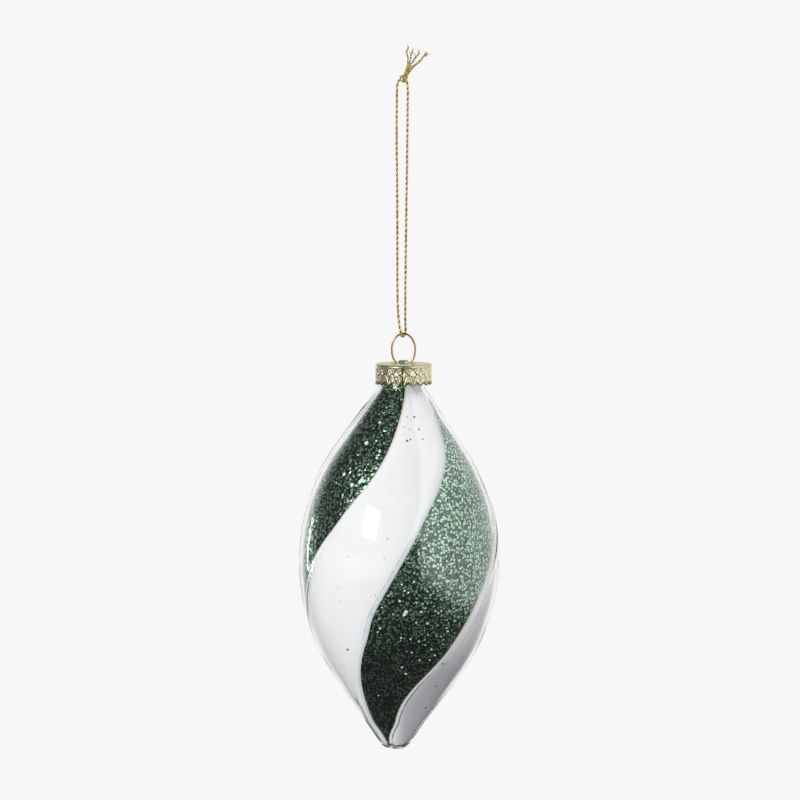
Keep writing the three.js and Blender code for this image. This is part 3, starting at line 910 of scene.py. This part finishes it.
def front_places(measured):
    """The row, the angle and the radius of each measured flake."""
    places = []
    for across, height, size in measured:
        row = min(FLECK_ROWS, key=lambda item: abs(item.height - height))
        angle = math.degrees(math.asin(max(-FRONT_LIMIT, min(FRONT_LIMIT, across / row.radius))))
        places.append((row, angle, size))
    return places


def rear_places():
    """Stray flakes at random on a white band at the back."""
    pick = random.Random(REAR_SEED)
    places = []
    for _ in range(REAR_FLECKS):
        row = pick.choice(FLECK_ROWS[REAR_ROWS])
        start, end = band_edges(REAR_FLECK_BAND, row.height)
        places.append((row, lerp(start, end, pick.uniform(*REAR_SPAN)), pick.uniform(*REAR_SIZES)))
    return places


def make_flecks(name, places, lift, depth, material):
    """Single flakes, flat on a coat."""
    pick = random.Random(SPIN_SEED)
    flecks = []
    for row, angle, size in places:
        bpy.ops.mesh.primitive_cylinder_add(vertices=FLECK_SIDES, radius=size, depth=FLECK_THICKNESS)
        fleck = bpy.context.object
        turn = math.radians(angle)
        outwards = Vector((row.out * math.sin(turn), -row.out * math.cos(turn), row.up))
        place = Matrix.Translation(drop_point(row, angle, lift, depth))
        tilt = outwards.to_track_quat("Z", "Y").to_matrix().to_4x4()
        fleck.data.transform(place @ tilt @ Matrix.Rotation(pick.uniform(0, 3), 4, "Z"))
        flecks.append(fleck)
    piece = join(flecks)
    piece.data.transform(DROP_PLACE)
    settle(piece, name, "glass", material)


# Materials

class Value:
    """One output of a material's nodes. Python arithmetic on it adds the nodes."""

    def __init__(self, shader, socket):
        self.shader = shader
        self.socket = socket

    def math(self, operation, *others):
        """One Math node on this value and others."""
        return self.shader.node("Math", {"operation": operation}, dict(enumerate((self, *others))))

    def __add__(self, other):
        return self.math("ADD", other)

    def __sub__(self, other):
        return self.math("SUBTRACT", other)

    def __rsub__(self, other):
        return self.shader.node("Math", {"operation": "SUBTRACT"}, {0: other, 1: self})

    def __mul__(self, other):
        return self.math("MULTIPLY", other)

    __radd__ = __add__
    __rmul__ = __mul__

    def between(self, low, high, start=0.0, end=1.0):
        """A smooth step from start to end as the value goes from low to high."""
        sockets = {"Value": self, "From Min": low, "From Max": high, "To Min": start, "To Max": end}
        return self.shader.node("MapRange", {"interpolation_type": "SMOOTHSTEP"}, sockets)

    def inside(self, low, low_full, high_full, high):
        """1 where the value lies between two soft ends, and 0 outside them."""
        return self.between(low, low_full) * self.between(high_full, high, 1, 0)


class Nodes:
    """A tree of shader nodes."""

    def __init__(self, tree):
        self.tree = tree

    def put(self, socket, value):
        """Links a value to a socket, or sets a constant on it."""
        if isinstance(value, Value):
            self.tree.links.new(value.socket, socket)
        elif hasattr(value, "__len__") and len(value) == 3 and socket.type == "RGBA":
            socket.default_value = (*value, 1)
        else:
            socket.default_value = value

    def node(self, kind, settings=None, sockets=None, output=None):
        """Adds a node by its type, settings and sockets, and gives one of its outputs."""
        made = self.tree.nodes.new("ShaderNode" + kind)
        for name, value in (settings or {}).items():
            setattr(made, name, value)
        for key, value in (sockets or {}).items():
            names = [s for s in made.inputs if key in (s.identifier, s.name)]
            self.put(names[0] if isinstance(key, str) else made.inputs[key], value)
        found = [s for s in made.outputs if s.enabled and output in (None, s.name, s.identifier)]
        return Value(self, found[0]) if found else None

    def axis(self, vector, name):
        """The X, Y or Z of a vector."""
        return self.node("SeparateXYZ", sockets={0: vector}, output=name)

    def ray(self, kind):
        """1 for one kind of ray: Camera, Transmission or Glossy. Only the stage reads it."""
        return self.node("LightPath", output=f"Is {kind} Ray")


class Finish(Nodes):
    """A material with one Principled shader, whose sockets are set by name."""

    def __init__(self, name, **sockets):
        self.material = bpy.data.materials.new(name)
        self.material.use_nodes = True
        super().__init__(self.material.node_tree)
        self.main = self.tree.nodes["Principled BSDF"]
        self.set(**sockets)

    def set(self, **sockets):
        for name, value in sockets.items():
            self.put(self.main.inputs[name.replace("_", " ")], value)

    def place(self):
        return self.node("TexCoord", output="Object")

    def noise(self, size, detail=3.0):
        """Noise of a feature size in millimetres."""
        sockets = {"Vector": self.place(), "Scale": 1000 / size, "Detail": detail}
        return self.node("TexNoise", sockets=sockets, output="Fac")

    def cells(self, size, output):
        """Round cells of a size in millimetres: the distance from their middles, or a colour for each."""
        sockets = {"Vector": self.place(), "Scale": 1000 / size}
        return self.node("TexVoronoi", sockets=sockets, output=output)

    def stored(self, name):
        """A number that the mesh holds for each point or face."""
        return self.node("Attribute", {"attribute_name": name}, output="Fac")

    def mix(self, factor, first, second):
        """A colour between two."""
        sockets = {"Factor_Float": factor, "A_Color": first, "B_Color": second}
        return self.node("Mix", {"data_type": "RGBA"}, sockets, output="Result_Color")

    def bump(self, height, distance):
        """A normal from a height, with its depth in millimetres."""
        return self.node("Bump", sockets={"Height": height, "Distance": distance / 1000})


def glass_finish():
    """Clear blown glass, very slightly wavy."""
    finish = Finish("clear_glass", Base_Color=(0.96, 0.985, 0.975), Roughness=0.0, IOR=1.5,
                    Transmission_Weight=1.0)
    finish.set(Normal=finish.bump(finish.noise(9, 1), 0.05))
    return finish.material


def lacquer_finish():
    """White lacquer seen through the glass, with painted light and shade: cream at its left edge, where the
    raised ledge faces the light, bluish grey at its right edge, which faces away, and the painted shade and
    dark painted shade lines that lie on it in the photograph. Heights and distances are in metres."""
    finish = Finish("white_lacquer", Specular_IOR_Level=0.12)
    cloud = finish.noise(14)
    grain = finish.noise(0.6)
    broken = finish.noise(2.2).between(0.36, 0.6)
    from_left = finish.stored("from_left")
    from_right = finish.stored("from_right")
    across = finish.axis(finish.place(), "X")
    height = finish.axis(finish.place(), "Z")
    toned = finish.mix(cloud.between(0.3, 0.7), (0.905, 0.89, 0.915), (0.94, 0.925, 0.945))
    # Painted light and shade of the raised ledges: cream on the left edge, bluish grey on the right edge
    toned = finish.mix(from_left.between(0.0002, 0.0011, 1, 0), toned, (0.7, 0.655, 0.57))
    toned = finish.mix(from_right.between(0.0003, 0.0019, 1, 0) * 0.75, toned, (0.55, 0.61, 0.64))
    # Painted shade low on the drop's right side
    shaded = height.between(-0.208, -0.188, 1, 0) * across.between(-0.004, 0.002)
    shaded = shaded * from_left.between(0.001, 0.0014)
    toned = finish.mix(shaded * 0.85, toned, (0.51, 0.5, 0.545))
    # Dark lines of painted shade: low near the left edge, and in the middle and high up near the right edge
    low_line = from_left.inside(0.0011, 0.0013, 0.0015, 0.0018) * height.between(-0.211, -0.203, 1, 0)
    toned = finish.mix(low_line * (0.45 + 0.55 * broken), toned, (0.05, 0.05, 0.055))
    middle_line = from_right.inside(0.0014, 0.0017, 0.0018, 0.0022)
    middle_line = middle_line * height.inside(-0.196, -0.19, -0.16, -0.152)
    toned = finish.mix(middle_line * (0.3 + 0.4 * broken), toned, (0.33, 0.42, 0.46))
    top_line = from_right.inside(0.0007, 0.0009, 0.001, 0.0013)
    top_line = top_line * height.inside(-0.128, -0.123, -0.113, -0.109)
    toned = finish.mix(top_line * 0.8, toned, (0.12, 0.27, 0.26))
    finish.set(Base_Color=toned, Roughness=0.5 + 0.12 * grain)
    finish.set(Normal=finish.bump(grain, 0.01))
    return finish.material


GLITTER_DOT = 0.92


def glitter_finish():
    """Green metallic glitter: pale dots on a dark ground, with painted shade that dims the dots towards the
    tip. The flakes of the mesh are a little lighter or darker too."""
    finish = Finish("green_glitter", Metallic=0.98)
    flake = finish.stored("flake")
    speck = finish.noise(0.7, 2)
    dark = finish.mix(speck, (0.035, 0.055, 0.042), (0.085, 0.145, 0.105))
    pale = finish.mix(speck, (0.40, 0.68, 0.48), (0.70, 0.95, 0.76))
    dot = finish.cells(GLITTER_DOT, "Distance").between(0.42, 0.54, 1, 0)
    tone = finish.node("SeparateColor", sockets={0: finish.cells(GLITTER_DOT, "Color")}, output="Red")
    height = finish.axis(finish.place(), "Z")
    # Painted shade: the dots dim towards the tip
    dot = dot * tone.between(0.1, 0.6, 0.25, 1) * height.between(-0.207, -0.18, 0.45, 1)
    colour = finish.mix((dot + 0.3 * flake).between(0.15, 0.95), dark, pale)
    finish.set(Base_Color=colour, Roughness=0.2 + 0.2 * speck)
    return finish.material


def fleck_finish():
    """Dark stray flakes."""
    finish = Finish("stray_glitter", Metallic=0.6)
    finish.set(Base_Color=finish.mix(finish.noise(1.5), (0.02, 0.03, 0.025), (0.08, 0.12, 0.1)),
               Roughness=0.35 + 0.1 * finish.noise(0.3))
    return finish.material


def glint_finish():
    """Painted glints: silvery flakes with a green tinge, coloured near white so that they look lit under
    any light.
    """
    finish = Finish("painted_glint", Metallic=0.1, Roughness=0.4)
    finish.set(Base_Color=finish.mix(finish.noise(1.3), (0.78, 0.9, 0.83), (0.97, 1, 0.98)))
    return finish.material


def cap_finish():
    """Pale gold on embossed sheet, dark olive in the hollows, partly patina and partly painted shade, with
    painted shade towards the scallops' ends.
    """
    finish = Finish("cap_gold", Metallic=0.88)
    emboss_and_shade = finish.stored("emboss_and_shade")
    wear = finish.noise(1.2)
    bright = finish.mix(wear, (0.82, 0.75, 0.48), (0.95, 0.91, 0.67))
    # Dark olive in the hollows: partly patina, partly painted shade
    colour = finish.mix(emboss_and_shade.between(0.08, 0.5), (0.15, 0.13, 0.055), bright)
    finish.set(Base_Color=colour, Roughness=0.27 + 0.16 * wear)
    finish.set(Normal=finish.bump(finish.noise(0.6), 0.06))
    return finish.material


def bail_finish():
    """Copper gold drawn wire."""
    finish = Finish("bail_gold", Metallic=1.0)
    patch = finish.noise(2.5)
    finish.set(Base_Color=finish.mix(patch, (0.45, 0.27, 0.075), (0.74, 0.5, 0.16)),
               Roughness=0.18 + 0.2 * finish.noise(0.4))
    return finish.material


def thread_finish():
    """Gold metallic thread, dark between its plies."""
    finish = Finish("gold_thread", Metallic=0.4)
    groove = finish.stored("groove")
    fibre = finish.noise(0.35)
    patch = finish.noise(1.1).between(0.5, 0.62)
    gold = finish.mix(fibre, (0.74, 0.55, 0.13), (0.98, 0.84, 0.33))
    gold = finish.mix(patch * 0.75, gold, (0.2, 0.12, 0.035))
    colour = finish.mix(groove.between(0.3, 0.85), gold, (0.12, 0.075, 0.025))
    finish.set(Base_Color=colour, Roughness=0.3 + 0.25 * fibre)
    finish.set(Normal=finish.bump(finish.noise(0.2), 0.03))
    return finish.material


# Stage and light

BACKGROUND = 0.93
LIGHT_TARGET = METRES @ Vector((-1, 0, -168))
FLOOR_HEIGHT = -0.42
FLOOR_RADIUS = 4
FLOOR_SIDES = 96
DROP_OVER_FLOOR = 0.25


def add_area(name, azimuth, elevation, distance, width, height, radiance, roll=0):
    """A soft box at a direction from the drop, with azimuth from the front towards +X."""
    data = bpy.data.lights.new(name, "AREA")
    data.shape = "RECTANGLE"
    data.size = width
    data.size_y = height
    data.energy = radiance * math.pi * width * height
    light = bpy.data.objects.new(name, data)
    bpy.context.scene.collection.objects.link(light)
    turn = math.radians(azimuth)
    rise = math.radians(elevation)
    out = Vector((math.sin(turn) * math.cos(rise), -math.cos(turn) * math.cos(rise), math.sin(rise)))
    light.location = LIGHT_TARGET + distance * out
    light.rotation_euler = (out.to_track_quat("Z", "Y").to_matrix()
                            @ Matrix.Rotation(math.radians(roll), 3, "Z")).to_euler()
    light.visible_camera = False


def studio_light(nodes, direction):
    """How strong the studio's light is in a direction. Reflections and what is seen through the glass
    find a dark front, a bright back, a bank of light on the right and a low card at the front left. Soft
    light is weaker from below on the right."""
    x, y, z = [nodes.axis(direction, name) for name in "XYZ"]
    bank = (0.5 * x + z).between(-0.03, 0.14) * x.between(0.33, 0.52) * y.between(0.3, 0.7, 1, 0.6)
    bank = bank * x.between(0.62, 0.92, 1.4, 0.92)
    card = z.inside(-0.26, -0.14, -0.02, 0.08) * y.between(-0.35, -0.2, 1, 0)
    card = card * x.inside(-0.95, -0.85, -0.3, -0.12)
    mirrored = y.between(0.56, 0.87, 0.05, BACKGROUND).math("MAXIMUM", bank) + 0.5 * card
    soft = (0.6 * x - 0.25 * y - 0.75 * z).between(0.1, 0.95, 0.82, 0.52)
    sharp = nodes.ray("Transmission").math("MAXIMUM", nodes.ray("Glossy"))
    return sharp * mirrored + (1 - sharp) * soft


def make_world():
    """The studio: plain white to the camera, and the studio's light to everything else."""
    world = bpy.data.worlds.new("studio")
    bpy.context.scene.world = world
    world.use_nodes = True
    world.node_tree.nodes.clear()
    sky = Nodes(world.node_tree)
    strength = studio_light(sky, sky.node("TexCoord", output="Generated"))
    around = sky.node("Background", sockets={"Color": (1, 1, 1), "Strength": strength})
    seen = sky.node("Background", sockets={"Color": (BACKGROUND, BACKGROUND, BACKGROUND)})
    mixed = sky.node("MixShader", sockets={0: sky.ray("Camera"), 1: around, 2: seen})
    sky.node("OutputWorld", sockets={"Surface": mixed})


def make_floor():
    """A pale floor that takes the object's shadow near it and fades into the background. It gives back
    the studio's light for the direction in which the drop sees it."""
    bpy.ops.mesh.primitive_circle_add(vertices=FLOOR_SIDES, radius=FLOOR_RADIUS, fill_type="NGON",
                                      location=(0, 0, FLOOR_HEIGHT))
    floor = bpy.context.object
    floor.name = "floor"
    finish = Finish("floor_paper", Roughness=0.9, Base_Color=(0.8, 0.8, 0.8))
    place = finish.place()
    away = finish.node("VectorMath", {"operation": "LENGTH"}, {0: place}, output="Value")
    from_drop = finish.node("VectorMath", {"operation": "ADD"}, {0: place, 1: (0, 0, -DROP_OVER_FLOOR)})
    direction = finish.node("VectorMath", {"operation": "NORMALIZE"}, {0: from_drop}, output="Vector")
    seen = finish.ray("Camera")
    strength = seen * BACKGROUND + (1 - seen) * studio_light(finish, direction)
    glow = finish.node("Emission", sockets={"Color": (1, 1, 1), "Strength": strength})
    paper = Value(finish, finish.main.outputs[0])
    near = seen * away.between(0.1, 0.9, 0.6, 0)
    mixed = finish.node("MixShader", sockets={0: near, 1: glow, 2: paper})
    output = next(node for node in finish.tree.nodes if node.type == "OUTPUT_MATERIAL")
    finish.put(output.inputs[0], mixed)
    floor.data.materials.append(finish.material)


def make_lights():
    """A window box high at the front left, and a narrow strip behind on the left."""
    add_area("window_box", azimuth=-35, elevation=20, distance=0.9, width=0.29, height=0.265,
             radiance=10.5, roll=-6)
    add_area("left_strip", azimuth=-128.5, elevation=-2.4, distance=0.9, width=0.0126, height=0.25,
             radiance=28)


bpy.ops.object.select_all(action="DESELECT")
add_camera()
make_thread(thread_finish())
make_bail(bail_finish())
make_cap(cap_finish())
make_glass(glass_finish())
lacquer = lacquer_finish()
glitter = glitter_finish()
for band, (_, is_white, _) in enumerate(BANDS):
    if is_white:
        make_white(band, lacquer)
    else:
        make_glitter(band, glitter)
stray = front_places(FRONT_FLECKS) + rear_places()
make_flecks("stray_flakes", stray, 1, COAT_DEPTH - FLECK_OFF, fleck_finish())
glints = [(across, height, glint_radius(height, radius)) for across, height, radius in FRONT_GLINTS]
# Painted glints on the glitter bands
make_flecks("painted_glints", front_places(glints), 0, COAT_DEPTH - GLINT_OFF, glint_finish())
make_world()
make_floor()
make_lights()
bpy.context.scene.view_settings.view_transform = "Standard"
